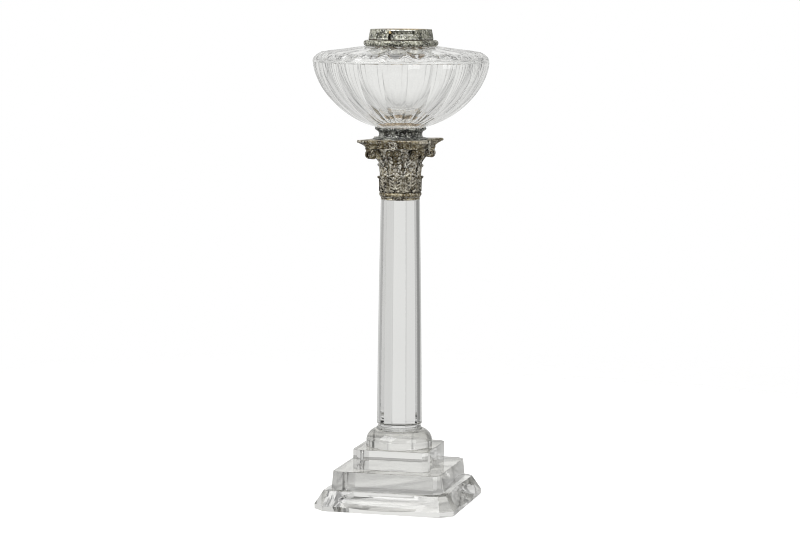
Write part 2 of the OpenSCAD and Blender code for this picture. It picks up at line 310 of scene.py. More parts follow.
def make_plinth(node, half, clip, draft):
    """A clipped square block with small rounded edges."""
    edge = 0.45 * MM
    bottom, top = span(node)
    outline = [(4 * edge, bottom), (0, bottom), (draft, top), (draft + 4 * edge, top)]
    return loft(node + "_glass", [clipped_ring(half - inset, clip - CLIP_SHRINK * inset, z)
                                  for inset, z in rounded(outline, edge, closed=False)])


def scoop_section(along):
    """The foot's slope at a distance along its side: (inset, height) points with the hollow cut into them."""
    run = FOOT_HALF - FOOT_TOP_HALF
    bottom, top = Vector((0, RIM_H)), Vector((run, high("foot")))
    slope = (top - bottom).length
    tilt = atan2(run, high("foot") - RIM_H)
    depth = SCOOP_DEPTH - along * along / (2 * SCOOP_SWEEP)
    width = sqrt(SCOOP_TUBE ** 2 - (SCOOP_TUBE - depth) ** 2) if depth > 0 else 0
    centre = (bottom + top) / 2 + Vector((-cos(tilt), sin(tilt))) * (SCOOP_TUBE - depth)
    half_cut = min(width, slope / 2)
    points = []
    for s in spread(0.5 - half_cut / slope, 0.5 + half_cut / slope, 10):
        point = bottom.lerp(top, s)
        angle = lerp(-pi / 2, -tilt, 2 * s) if s < 0.5 else lerp(-tilt, 0, 2 * s - 1)
        move = Vector((cos(angle), sin(angle)))
        away = point - centre
        inside = SCOOP_TUBE ** 2 - away.length_squared
        if inside > 0:
            point += move * (sqrt(away.dot(move) ** 2 + inside) - away.dot(move))
        points.append(point)
    if half_cut < slope / 2 - 1e-7:
        first, final = bottom, top
    else:
        first, final = points[0], points[-1]
    edge, least = 0.35 * MM, 0.04 * MM
    lead, tail = (points[0] - first).length, (final - points[-1]).length
    low_edge, high_edge = (max(least, min(edge, length * 0.6)) for length in (lead, tail))
    into, out = (points[1] - first).normalized(), (final - points[-2]).normalized()
    start = [first - Vector((0, edge)), first + (into - Vector((0, 1))) * 0.12 * low_edge,
             first + into * low_edge, first + into * max(low_edge * 1.2, lead)]
    end = [final - out * max(high_edge * 1.2, tail), final - out * high_edge,
           final + (Vector((1, 0)) - out) * 0.12 * high_edge, final + Vector((edge, 0))]
    return start + points[1:-1] + end


def make_foot():
    """Splayed foot with a long hollow cut into each side, sampled closest where the hollow fades out."""
    turn_r = 0.4 * MM
    edge = 0.4 * MM
    half_flat = FOOT_HALF - FOOT_CLIP
    side = []
    for share in spread(-1, 1, 56):
        along = half_flat * sin(pi / 2 * share)
        column = []
        for inset, z in scoop_section(along):
            flat = half_flat - (1 - CLIP_SHRINK) * inset - turn_r
            column.append((FOOT_HALF - inset, along * flat / half_flat, z))
        side.append(column)
    plain = scoop_section(FOOT_HALF)
    for k in range(1, 8):
        a = pi / 16 * k
        column = []
        for inset, z in plain:
            far = FOOT_HALF - inset - turn_r
            near = half_flat - (1 - CLIP_SHRINK) * inset - CORNER_EASE * turn_r
            x, y = (far, near) if k < 4 else (near, far)
            column.append((x + turn_r * cos(a), y + turn_r * sin(a), z))
        side.append(column)
    columns = [[quarter_turns(*point, count) for point in column] for count in range(4) for column in side]
    rings = []
    for inset, z in ((edge, 0), (edge * 0.3, edge * 0.3), (0, edge)):
        shrink = 1 - inset / FOOT_HALF
        rings.append([(column[0][0] * shrink, column[0][1] * shrink, z) for column in columns])
    rings += [list(level) for level in zip(*columns)]
    return loft("foot_glass", rings, 9)


def make_tier():
    """Round tier: an upright rim under a convex bevel."""
    bottom, top = span("round_tier")
    rim_top = bottom + TIER_RIM
    neck = 24.2 * MM
    edge = 0.4 * MM
    outline = [(ON_AXIS, bottom), (TIER_R - edge, bottom), (TIER_R, bottom + edge), (TIER_R, rim_top - edge)]
    for a in spread(0, pi / 2, 20):
        out = (1 - sin(a) ** TIER_POWER) ** (1 / TIER_POWER)
        outline.append((lerp(neck, TIER_R - edge / 2, out), lerp(rim_top, top, sin(a))))
    outline.append((ON_AXIS, top))
    return revolve("round_tier_glass", outline, sharp=24)


def column_ring(radius, z):
    """A ring of the column's section: flat facets that meet in slightly rounded edges."""
    turn_r = 0.4 * MM
    sector = TURN / COLUMN_SIDES
    apothem = radius * cos(sector / 2)
    half_flat = radius * sin(sector / 2) - turn_r * tan(sector / 2)
    points = []
    for side in range(COLUMN_SIDES):
        normal = COLUMN_TURN + sector * (side + 0.5)
        out, along = facing(normal)
        points += [out * apothem + along * half_flat * share + UP * z for share in (-1, 0, 1)]
        centre = out * (apothem - turn_r) + along * half_flat
        points += [centre + polar(turn_r, normal + sector * k / 4, z) for k in (1, 2, 3)]
    return points


def make_column():
    """Ten-sided tapering column with a grooved foot and a round tenon inside the capital."""
    bottom, top, head = low("column"), high("column"), low("ferrule")
    foot = above(bottom, (23.1, 0), (23.5, 0.25), (23.45, 0.7), (22.9, 1.3), (22.2, 2.1), (21.75, 2.9),
                 (21.65, 3.6), (21.9, 4.3))
    rings = [column_ring(r, z) for r, z in foot]
    for t in spread(0, 1, 14):
        r = lerp(COLUMN_R_LOW, COLUMN_R_HIGH, t) + ENTASIS * sin(pi * t)
        rings.append(column_ring(r, lerp(bottom + COLUMN_FOOT_H, head - 0.3 * MM, t)))
    rings.append(column_ring(COLUMN_R_HIGH - 0.3 * MM, head))
    angles = [atan2(p.y, p.x) for p in rings[0]]
    for r, z in ((TENON_R + 0.6 * MM, head), (TENON_R, head + 0.6 * MM), (TENON_R, top - 0.5 * MM),
                 (TENON_R - 0.5 * MM, top)):
        rings.append(circle(r, z, angles))
    return loft("column_glass", rings, 25)


def make_joints():
    """Films of clear cement that lap a hair into the glass on both sides, so that light goes straight on."""
    films = []
    for below, on_top, size, clip in (("foot", "lower_plinth", LOWER_HALF - 0.5 * MM, LOWER_CLIP),
                                      ("lower_plinth", "upper_plinth", UPPER_HALF - 0.5 * MM, UPPER_CLIP),
                                      ("upper_plinth", "round_tier", TIER_R - 0.6 * MM, None),
                                      ("round_tier", "column", COLUMN_R_LOW - 1.2 * MM, None)):
        levels = (high(below) - JOINT_LAP, low(on_top) + JOINT_LAP)
        if clip is None:
            films.append(revolve("film", [(size, z) for z in levels], 120, 30))
        else:
            films.append(loft("film", [clipped_ring(size, clip, z) for z in levels]))
    return join("clear_cement_films", films)


# ------------ Glass font

FONT_ANGLES = [RIDGE_TURN + a for a in around(FLUTES * FLUTE_STEPS)]
FONT_SHARES = [2 * j / FLUTE_STEPS - 1 for j in range(FLUTE_STEPS)] * FLUTES


def shoulder_at(r):
    """Height of the uncut shoulder."""
    return GIRDLE_Z + SHOULDER_H * sqrt(max(0, 1 - (r / GIRDLE_R) ** SHOULDER_POWER))


def petal_at(r, share):
    """Height of the petal cuts. The share runs from -1 to 1 between the ridges at a petal's two sides."""
    x = (r - PETAL_START) / PETAL_RUN
    x_in = min(1, max(0, x))
    fall = 0.3 + 8.8 * x + 3.3 * max(0, x) ** 5.5 - 30 * x_in ** 6 * (1 - x_in)
    across = share * r * pi / FLUTES
    return SHOULDER_Z - (0.2 + fall) * MM + PETAL_HOLLOW * across * across


def petal_edge(share):
    """Radius at which a petal cut meets the uncut shoulder."""
    inner, outer = 70 * MM, GIRDLE_R
    for _ in range(40):
        middle = (inner + outer) / 2
        if petal_at(middle, share) < shoulder_at(middle):
            inner = middle
        else:
            outer = middle
    return inner


def bowl_radius(radius, depth, drop):
    """Radius of a bowl at a drop below its girdle."""
    return radius * sqrt(max(0, 1 - (drop / depth) ** 1.7))


def font_circles(*sizes):
    """Plain rings of the font at (radius, height) pairs."""
    return [circle(r, z, FONT_ANGLES) for r, z in sizes]


def bowl_rings():
    """The peg and the fluted outside of the bowl, up to the girdle."""
    depth = BOWL_H + 3.2 * MM
    cut_top = 0.9 * MM
    start = bowl_radius(GIRDLE_R, depth, BOWL_H)
    rings = font_circles((PEG_R - 0.6 * MM, FONT_SEAT_Z - PEG_H), (PEG_R, FONT_SEAT_Z - PEG_H + 0.6 * MM),
                         (PEG_R, FONT_SEAT_Z), (lerp(PEG_R, start, 0.6), FONT_SEAT_Z))
    for rise in spread(0, pi / 2, 30):
        drop = (BOWL_H - cut_top) * cos(rise) + cut_top
        r = bowl_radius(GIRDLE_R, depth, drop)
        cut = FLUTE_DEPTH * (r / GIRDLE_R) ** 0.9
        rings.append([polar(r - cut * (1 - share * share), a, GIRDLE_Z - drop)
                      for a, share in zip(FONT_ANGLES, FONT_SHARES)])
    rings += font_circles((GIRDLE_R - 0.05 * MM, GIRDLE_Z - 0.35 * MM), (GIRDLE_R, GIRDLE_Z - 0.05 * MM))
    return rings


def shoulder_rings():
    """The uncut band above the girdle, then the petal cuts from their edges in towards the neck."""
    edges = [petal_edge(share) for share in FONT_SHARES]
    rings = []
    for part in spread(0, 1, 4, 1):
        ring = []
        for a, edge in zip(FONT_ANGLES, edges):
            full = shoulder_at(edge) - GIRDLE_Z
            rise = (full - min(PETAL_CHAMFER, 0.45 * full)) * part
            r = GIRDLE_R * (1 - (rise / SHOULDER_H) ** 2) ** (1 / SHOULDER_POWER)
            ring.append(polar(r, a, GIRDLE_Z + rise))
        rings.append(ring)
    for away in (0.018, 0.026, 0.04, 0.06, 0.09, 0.13, 0.18, 0.25, 0.33, 0.42, 0.51, 0.6, 0.7, 0.8, 0.9, 1):
        dip = PETAL_DIP * (1 - exp(-(away / 0.014) ** 2)) * exp(-away / 0.13)
        ring = []
        for a, share, edge in zip(FONT_ANGLES, FONT_SHARES, edges):
            r = lerp(edge, PETAL_START, away)
            ring.append(polar(r, a, min(petal_at(r, share) - dip, SHOULDER_Z - 0.01 * MM)))
        rings.append(ring)
    return rings


def neck_rings():
    top = SHOULDER_Z + NECK_H
    edge = 0.8 * MM
    return font_circles((36.5 * MM, SHOULDER_Z - 0.02 * MM), (NECK_R + 0.6 * MM, SHOULDER_Z - 0.02 * MM),
                        (NECK_R, SHOULDER_Z + 0.6 * MM), (NECK_R, top - edge), (NECK_R - edge, top),
                        (NECK_BORE + edge, top), (NECK_BORE, top - edge))


def reservoir_rings():
    """The inside, from under the neck out to the girdle and down to the bottom."""
    inner_r = GIRDLE_R - 5.8 * MM
    depth = BOWL_H - BOTTOM_H
    mouth = 1.5 * MM

    def ceiling(r, share=0):
        dome = GIRDLE_Z + (SHOULDER_H - 5 * MM) * sqrt(max(0, 1 - (r / inner_r) ** 3.6))
        return min(dome, petal_at(max(r, PETAL_START), share) - 4.6 * MM)

    rings = font_circles((NECK_BORE, ceiling(NECK_BORE) + mouth),
                         (NECK_BORE + 0.4 * mouth, ceiling(NECK_BORE) + 0.3 * mouth))
    for sweep_angle in spread(0, pi / 2, 18, 1):
        r = lerp(NECK_BORE + mouth, inner_r, sin(sweep_angle))
        rings.append([polar(r, a, ceiling(r, share)) for a, share in zip(FONT_ANGLES, FONT_SHARES)])
    for fall in spread(0, pi / 2, 26, 1)[:-1]:
        drop = depth * sin(fall)
        rings += font_circles((bowl_radius(inner_r, depth, drop), GIRDLE_Z - drop))
    return rings + font_circles((2 * MM, GIRDLE_Z - depth))


def make_font():
    return loft("font_glass", bowl_rings() + shoulder_rings() + neck_rings() + reservoir_rings(), 13)


# ------------ Capital

CAPITAL_Z = low("ferrule")
BELL_Z = low("capital_bell")
BELL_TOP = high("capital_bell")
BELL_R = 18.4 * MM
BELL_BORE = 16.4 * MM
ABACUS_TOP = high("abacus")
LEAVES = 8
SCROLL_R = 4.9 * MM
SCROLL_EYE = 1.5 * MM
SCROLL_TURNS = 1.6
SCROLL_START = pi / 2 + radians(34)
SCROLL_WIDTH = 3.1 * MM
SCROLL_THICK = 1.35 * MM
HELIX_R = 3.1 * MM


def sheet(grid, thickness):
    """The points and faces of a closed sheet: a grid of points, thickened towards its back."""
    rows, cols = len(grid), len(grid[0])

    def normal(i, j):
        a = grid[min(i + 1, rows - 1)][j] - grid[max(i - 1, 0)][j]
        b = grid[i][min(j + 1, cols - 1)] - grid[i][max(j - 1, 0)]
        n = a.cross(b)
        return n.normalized() if n.length > 0 else UP

    points = [p for row in grid for p in row]
    for i in range(rows):
        for j in range(cols):
            at_rim = i in (0, rows - 1) or j in (0, cols - 1)
            points.append(grid[i][j] + normal(i, j) * thickness * (0.55 if at_rim else 1))
    size = rows * cols
    faces = []
    for i in range(rows - 1):
        for j in range(cols - 1):
            a = i * cols + j
            faces.append((a, a + cols, a + cols + 1, a + 1))
            faces.append((a + size, a + 1 + size, a + cols + 1 + size, a + cols + size))
    rim = list(range(cols))
    rim += [i * cols + cols - 1 for i in range(1, rows)]
    rim += [(rows - 1) * cols + j for j in reversed(range(cols - 1))]
    rim += [i * cols for i in reversed(range(1, rows - 1))]
    faces += [(a, b, b + size, a + size) for a, b in zip(rim, rim[1:] + rim[:1])]
    return points, faces


def turned(part, angle):
    """A (points, faces) pair turned about the axis."""
    c, s = cos(angle), sin(angle)
    return [Vector((p.x * c - p.y * s, p.x * s + p.y * c, p.z)) for p in part[0]], part[1]


def leaf_path(t, foot_r, tip_r, height):
    """Distance from the axis and height of an acanthus leaf's midrib at a share t of its length."""
    curl = 1.25 * MM
    turn_over = 0.8
    start_r = tip_r - 2 * curl
    if t < turn_over:
        u = t / turn_over
        return lerp(foot_r, start_r, u ** 2.2), (height - curl) * u
    a = pi * (1 - 1.3 * (t - turn_over) / (1 - turn_over))
    return start_r + curl * (1 + cos(a)), height - curl + curl * sin(a)


def leaf_width(t, half_width, lobes):
    """Half the width of a leaf with cut lobes at a share t of its length."""
    swell = 0.66 + 0.34 * sin(pi * min(1, t / 0.92) ** 0.8)
    taper = 1 if t < 0.74 else sqrt(max(0.02, 1 - ((t - 0.74) / 0.29) ** 2))
    tooth = 1 - 0.42 * abs(2 * ((t * lobes + 0.2) % 1) - 1) ** 2.4
    small = 1 - 0.07 * abs(2 * ((t * lobes * 3) % 1) - 1)
    return half_width * swell * taper * (tooth * small if t > 0.05 else 0.88)


def acanthus(foot_r, tip_r, foot_z, height, half_width, lobes=5):
    """An acanthus leaf with a midrib and veins, curling over at the tip."""
    grid = []
    for t in spread(0, 1, 66):
        width = leaf_width(t, half_width, lobes)
        r0, z0 = leaf_path(t, foot_r, tip_r, height)
        fade = min(1, (1 - t) * 7 + 0.25)
        droop = min(1, t * 3) * (1 if t < 0.8 else 0.4)
        row = []
        for s in spread(-1, 1, 32):
            reach_up = (t + 0.24 * abs(s)) * lobes + 0.2
            gully = abs(sin(pi * reach_up)) ** 0.7
            vein = (gully - 0.6) * min(1, 2.6 * abs(s)) * 0.75
            ripple = 0.16 * cos(TURN * reach_up * 3) * min(1, 3 * abs(s))
            midrib = 0.6 * exp(-((s / 0.1) ** 2)) - 0.45 * exp(-(((abs(s) - 0.24) / 0.09) ** 2))
            r = r0 + ((vein + ripple + midrib) * fade - 0.75 * s * s) * MM
            z = foot_z + z0 - 1.3 * MM * abs(s) * droop
            row.append(polar(r, s * width / max(r0, 1 * MM), z))
        grid.append(row)
    return sheet(grid, -0.75 * MM)


def row_of_leaves(name, turn, leaf, band_low, band_high, band_r):
    """Eight leaves on a band round the bell."""
    leaves = merge(name, [turned(leaf, turn + TURN * k / LEAVES) for k in range(LEAVES)])
    back = BELL_R - 0.2 * MM
    outline = [(back, band_low), (band_r, band_low), (band_r, band_high), (back, band_high)]
    return join(name, [leaves, revolve("band", rounded(outline, 0.15 * MM), 120, 40, closed=True)])


def make_lower_leaves():
    leaf = acanthus(BELL_R + 1.75 * MM, 23 * MM, BELL_Z + 0.1 * MM, 15.6 * MM, 8.3 * MM)
    return row_of_leaves("lower_acanthus", TURN / 16, leaf, BELL_Z, BELL_Z + 3.5 * MM, BELL_R + 0.7 * MM)


def make_upper_leaves():
    leaf = acanthus(BELL_R + 0.95 * MM, 23.5 * MM, BELL_Z + 4.2 * MM, 23.4 * MM, 8.1 * MM, 7)
    return row_of_leaves("upper_acanthus", 0, leaf, BELL_Z + 4 * MM, BELL_Z + 22 * MM, BELL_R + 0.4 * MM)


def ribbon(path, across, width, thick, rim):
    """A ribbon with a shallow channel between raised rims, along a path of (point, scale) pairs."""
    w, t = width / 2, thick / 2
    half = [(w, -t), (w, t), (w - rim, t), (w - 1.6 * rim, t * 0.1), (-w + 1.6 * rim, t * 0.1), (-w + rim, t)]
    profile = half + [(-u, -v) for u, v in half]
    rings = []
    for k, (point, scale) in enumerate(path):
        ahead = path[min(k + 1, len(path) - 1)][0] - path[max(k - 1, 0)][0]
        out = across.cross(ahead.normalized()).normalized()
        rings.append([point + across * u * scale + out * v * scale for u, v in profile])
    return solid(rings)


def spline(points, steps):
    """Catmull-Rom points through tuples of numbers, without the last one."""
    result = []
    for i in range(len(points) - 1):
        near = [points[min(max(i + k, 0), len(points) - 1)] for k in (-1, 0, 1, 2)]
        for t in spread(0, 1, steps)[:-1]:
            result.append([
                b + 0.5 * ((c - a) * t + (2 * a - 5 * b + 4 * c - d) * t ** 2
                           + (3 * (b - c) - a + d) * t ** 3)
                for a, b, c, d in zip(*near)])
    return result


def scroll(origin, along, centre, stalk):
    """A stalk of (out, up, scale) points that rises and winds into a spiral, with an eye and a web behind."""
    across = Vector((-along.y, along.x, 0))

    def at(out, z):
        return origin + along * out + UP * z

    path = [(at(out, z), scale) for out, z, scale in stalk]
    for u in spread(0, 1, int(30 * SCROLL_TURNS)):
        a = SCROLL_START - TURN * SCROLL_TURNS * u
        r = SCROLL_R * (1 - u) ** 0.9 + SCROLL_EYE * 0.75 * u
        path.append((at(centre[0] + r * cos(a), centre[1] + r * sin(a)), lerp(1, 0.72, u)))
    body = ribbon(path, across, SCROLL_WIDTH, SCROLL_THICK, SCROLL_THICK * 0.55)
    button = []
    for share in spread(-1, 1, 10):
        q = SCROLL_EYE * sqrt(max(0, 1 - share * share * 0.92))
        button.append(disc(at(*centre) + across * share * SCROLL_WIDTH * 0.62, along, UP, q, 20))
    web = []
    for share, inset in ((-1, 0.15 * MM), (-0.8, 0), (0.8, 0), (1, 0.15 * MM)):
        side = across * share * SCROLL_WIDTH * 0.24
        ring = []
        for a in around(40):
            q = SCROLL_R * (0.86 - 0.12 * sin(a / 2) ** 2) - inset
            ring.append(at(centre[0] + q * cos(a), centre[1] + q * sin(a)) + side)
        web.append(ring)
    return [body, solid(button), solid(web)]


def corner_bracket(out, beside):
    """The solid block behind a corner's scrolls, thinner towards its two sides."""
    outline = ((18, 36), (21.8, 37), (24.6, 39.4), (27.4, 41.4), (30, 42), (33.4, 43.2), (36.6, 46),
               (38.4, 49.4), (39.6, 52), (18, 52))
    shell = []
    for share, inset in ((-1, 0.8), (-0.7, 0.25), (-0.35, 0), (0.35, 0), (0.7, 0.25), (1, 0.8)):
        side = beside * share * 3.6 * MM + UP * CAPITAL_Z
        shell.append([side + out * (r - inset) * MM + UP * z * MM for r, z in outline])
    return solid(shell)


def make_corner_volutes():
    """Two scrolls in a V under each corner of the abacus, on stalks that spring from between the leaves."""
    centre = (33.6 * MM, CAPITAL_Z + 45.4 * MM)
    first = (centre[0] + SCROLL_R * cos(SCROLL_START), centre[1] + SCROLL_R * sin(SCROLL_START), 1)
    stem = ((20.3, 30.5, 0.7), (21.2, 36, 0.8), (23.4, 42.3, 0.9), (27.2, 47.6, 1))
    stalk = spline([(out * MM, CAPITAL_Z + z * MM, scale) for out, z, scale in stem] + [first], 8)
    leaf = acanthus(20.8 * MM, 31 * MM, CAPITAL_Z + 31.5 * MM, 14.6 * MM, 4.9 * MM, 4)
    parts = []
    for corner in range(4):
        diagonal = TURN * (corner + 0.5) / 4
        out, beside = facing(diagonal)
        for hand in (-1, 1):
            along = polar(1, diagonal + hand * radians(7.15), 0)
            parts += scroll(beside * hand * -1.2 * MM, along, centre, stalk)
        parts += [turned(leaf, diagonal), corner_bracket(out, beside)]
    return merge("corner_volute_scrolls", parts, 40)


def helix(out, across, hand):
    """A small scroll that leans towards its twin, with a domed button in its middle."""
    middle, height = 4.05 * hand * MM, CAPITAL_Z + 46.6 * MM
    stem = ((7.6, 32, 20, 0.8), (7, 37.5, 21, 0.9), (7.1, 43, 24.6, 1))
    path = []
    for u, z, r, scale in spline(stem, 8) + [stem[-1]]:
        path.append(((out * sqrt(r * r - u * u) + across * u * hand + UP * z) * MM + UP * CAPITAL_Z, scale))
    for u in spread(0, 1, 40):
        a = radians(-28 + 470 * u)
        r = HELIX_R * (1 - u) ** 0.9 + 0.6 * MM * u
        point = across * (middle + hand * r * cos(a)) + UP * (height + r * sin(a))
        path.append((point + out * (26.9 + 1.4 * u) * MM, lerp(1, 0.75, u)))
    button = []
    for share in spread(0, 1, 6):
        q = 1.05 * MM * sqrt(max(0.02, 1 - share * share))
        centre = out * (26.4 + 3.2 * share) * MM + across * middle + UP * height
        button.append(disc(centre, across, UP, q, 16))
    return [ribbon(path, out, 2.3 * MM, 0.95 * MM, 0.42 * MM), solid(button)]


def make_helices():
    """Pairs of small scrolls that lean together under each flower, with a leaf at each side."""
    leaf = acanthus(19.6 * MM, 30.6 * MM, CAPITAL_Z + 33 * MM, 18.6 * MM, 6.2 * MM)
    parts = []
    for side in range(4):
        out, across = facing(TURN * side / 4)
        for hand in (-1, 1):
            parts += helix(out, across, hand)
            parts.append(turned(leaf, TURN * side / 4 + hand * radians(23.5)))
    return merge("helix_scrolls", parts, 40)


def petal_sheet(out, ray, tangent, middle):
    """A dished petal of a flower, along a ray from its middle."""
    grid = []
    for t in spread(0, 1, 8):
        width = 1.75 * MM * sin(pi * min(1, 0.12 + 0.88 * t) ** 0.75) ** 0.7 + 0.15 * MM
        row = []
        for s in spread(-1, 1, 6):
            lift = 29.1 + 1.5 * t - 0.9 * t ** 3 + 0.55 * s * s - 0.25 * exp(-(s / 0.3) ** 2)
            row.append(middle + out * lift * MM + ray * (0.8 + 3.5 * t) * MM + tangent * s * width)
        grid.append(row)
    return sheet(grid, -0.7 * MM)


def make_fleurons():
    """A six-petalled flower on the middle of each side of the abacus."""
    middle = UP * (ABACUS_TOP - 5.6 * MM)
    parts = []
    for side in range(4):
        out, across = facing(TURN * side / 4)
        for petal in range(6):
            a = TURN * (petal + 0.5) / 6
            ray, tangent = across * cos(a) + UP * sin(a), UP * cos(a) - across * sin(a)
            parts.append(petal_sheet(out, ray, tangent, middle))
        boss = []
        for share in spread(0, 1, 8):
            q = 1.5 * MM * sqrt(max(0.02, 1 - share ** 2.4))
            boss.append(disc(middle + out * lerp(24, 31.2, share) * MM, across, UP, q, 18))
        parts.append(solid(boss))
    return merge("abacus_flowers", parts, 45)


def abacus_ring(shrink, z):
    """The abacus outline: four hollowed sides between narrow tips, which draw in more than the sides do."""
    tip = 49 * MM - 1.12 * shrink
    middle = 29 * MM - 0.42 * shrink
    hollow_r = 71.6 * MM
    diagonal, half_tip = tip / sqrt(2), 1.9 * MM / sqrt(2)

    def hollow(a):
        return middle + hollow_r * (1 - cos(a)), hollow_r * sin(a)

    reach_low, reach_high = 0.0, pi / 4
    for _ in range(40):
        a = (reach_low + reach_high) / 2
        x, y = hollow(a)
        if x + y < tip * sqrt(2) - 1.2 * MM and y < x - 3 * MM:
            reach_low = a
        else:
            reach_high = a
    side = [hollow(a) for a in spread(-reach_low, reach_low, 28)]
    end = side[-1]
    corner = (diagonal + half_tip, diagonal - half_tip)
    way = [(lerp(end[0], corner[0], t), lerp(end[1], corner[1], t)) for t in (0.25, 0.5, 0.75)]
    across_tip = [(diagonal + t, diagonal - t) for t in spread(half_tip, -half_tip, 4)]
    outline = side + way + across_tip + [(y, x) for x, y in reversed(way)]
    return [quarter_turns(x, y, z, quarter) for quarter in range(4) for x, y in outline]


def make_abacus():
    """Hollow-sided abacus: a cavetto under a fillet and a rounded top moulding."""
    profile = above(BELL_TOP, (9.4, 0), (9, 0.25), (8.9, 0.8), (8.6, 1.4), (7.7, 2.6), (6, 3.9), (4.1, 4.9),
                    (2.8, 5.4), (2.5, 5.5), (2.5, 5.95), (1.4, 6), (0.9, 6.1), (0.35, 6.45), (0.05, 7),
                    (0, 7.5), (0.15, 8.1), (0.5, 8.6), (0.75, 8.8))
    return loft("abacus_plate", [abacus_ring(shrink, z) for shrink, z in profile], 32)


def make_bell():
    """The capital's bell with its lip, bored for the plaster."""
    edge = 0.2 * MM
    outside = above(BELL_Z, (18.4, 14), (18.45, 24), (18.55, 27), (18.95, 29.5), (19.6, 32), (20.6, 34.8),
                    (22, 37.5), (23.5, 39.6), (25.1, 41.2), (26.3, 42.2), (26.9, 42.7), (27.1, 43.1),
                    (27, 43.5))
    outline = [(BELL_BORE, BELL_Z), (BELL_R - edge, BELL_Z), (BELL_R, BELL_Z + edge)]
    outline += [(r, min(z, BELL_TOP)) for r, z in outside] + [(BELL_BORE, BELL_TOP)]
    return revolve("capital_bell_body", outline, sharp=30, closed=True)


def make_astragal():
    bottom, top = span("astragal")
    half = (top - bottom) / 2
    middle_r = reach("astragal") - half
    outline = [(BELL_BORE, bottom), (middle_r - 0.6 * MM, bottom), (middle_r - 0.2 * MM, bottom + 0.25 * MM)]
    outline += bead(middle_r, (bottom + top) / 2, half, 0.82, 18)
    outline += [(middle_r - 0.3 * MM, top - 0.1 * MM), (middle_r - 0.8 * MM, top), (BELL_BORE, top)]
    return revolve("astragal_ring", outline, closed=True)


def make_ferrule():
    top = high("ferrule")
    outside = above(CAPITAL_Z, (19, 0), (19.35, 0.15), (19.55, 0.5), (19.45, 0.95), (19.3, 1.3), (19.4, 1.9),
                    (19.75, 2.5), (20.1, 2.85), (20.15, 3.1)) + [(19.9 * MM, top)]
    return revolve("ferrule_ring", [(BELL_BORE, CAPITAL_Z)] + outside + [(BELL_BORE, top)], closed=True)


# ------------ Font seat and burner fitting

UNDER_Z = low("undermount_plaster") - 2.4 * MM
SLOT_START = radians(-95.5)
SLOT_TURN = radians(46)
SLOT_HALF = 1.7 * MM
PIN_Z = SHOULDER_Z + 13.7 * MM


def dented(depth, waves, seed):
    """Slight out-of-round wear for a spun or rolled ring, away from its bore."""
    def wear(r, a):
        if r < 20 * MM:
            return r
        push = sin(waves * a + seed) + 0.6 * sin((2 * waves + 1) * a + 2.3 * seed)
        push += 0.35 * sin((5 * waves + 2) * a + 5.1 * seed)
        return r - depth * 0.3 * MM * (1 + push * 0.5)
    return wear


def make_undermount():
    """Spun cup under the font: a waisted neck below a rolled flange, with the screw stem beneath."""
    stem, bed, top = low("undermount"), low("undermount_plaster"), FONT_SEAT_Z
    outline = above(stem, (0.02, 0), (9.4, 0), (10, 0.6))
    outline += above(UNDER_Z, (10, 0), (22.1, 0), (22.4, 0.25), (22.3, 0.6), (21.9, 1.1), (21.75, 2),
                     (21.75, 3.2), (21.9, 4.4), (22.3, 5.3), (23, 6), (24, 6.5), (24.9, 6.9))
    outline += bead(reach("undermount") - 1.2 * MM, top - 1.25 * MM, 1.2 * MM, 0.8, 10)
    outline += above(top, (24.2, -0.12), (23.4, -0.6), (19, -0.7)) + above(bed, (19, 0), (0.02, 0))
    return revolve("undermount_cup", outline, wear=dented(0.12, 3, 0.4))


def make_seat_ring():
    """Loose ring with a bevelled outside."""
    bottom, top = span("seat_ring")
    radius = reach("seat_ring")
    outline = [(12 * MM, bottom), (radius, bottom), (radius, bottom + 0.8 * MM)]
    outline += above(top, (22.7, 0), (12, 0))
    return revolve("seat_ring_bevel", rounded(outline, 0.3 * MM), closed=True, wear=dented(0.1, 2, 1.3))


def bead_wear(r, a):
    """Dents along the rolled bead, none on the tube."""
    if r < 33.3 * MM:
        return r
    push = 0.5 + 0.5 * sin(3 * a + 0.7) * sin(7 * a + 1.1)
    small = max(0, sin(17 * a + 2.1 * sin(5 * a))) ** 6
    return r - (0.22 * push + 0.2 * small) * MM


def make_collar():
    """Burner collar: a rolled bead round the font's neck and the tube that the bayonet ring drops over."""
    bottom = low("burner_collar")
    outline = above(bottom, (27.2, 0), (33.2, 0))
    outline += bead(reach("burner_collar") - 3 * MM, bottom + 3 * MM, 3 * MM, 0.86, 14)
    outline += above(bottom, (33.4, 5.95), (28.95, 6))
    outline += above(high("burner_collar"), (28.9, -0.3), (28.6, 0), (27.5, 0), (27.2, -0.3))
    return revolve("burner_collar_bead", outline, 200, closed=True, wear=bead_wear)


def ring_wear(r, a):
    """A few shallow dents in the outside of the bayonet ring."""
    if r < 30 * MM:
        return r
    a = (a + pi) % TURN - pi
    for centre, width, depth in ((-2.15, 0.16, 0.26), (-1.2, 0.22, 0.2), (-0.5, 0.12, 0.24), (0.9, 0.2, 0.3),
                                 (2.4, 0.15, 0.25)):
        r -= depth * MM * exp(-(((a - centre) / width) ** 2))
    return r


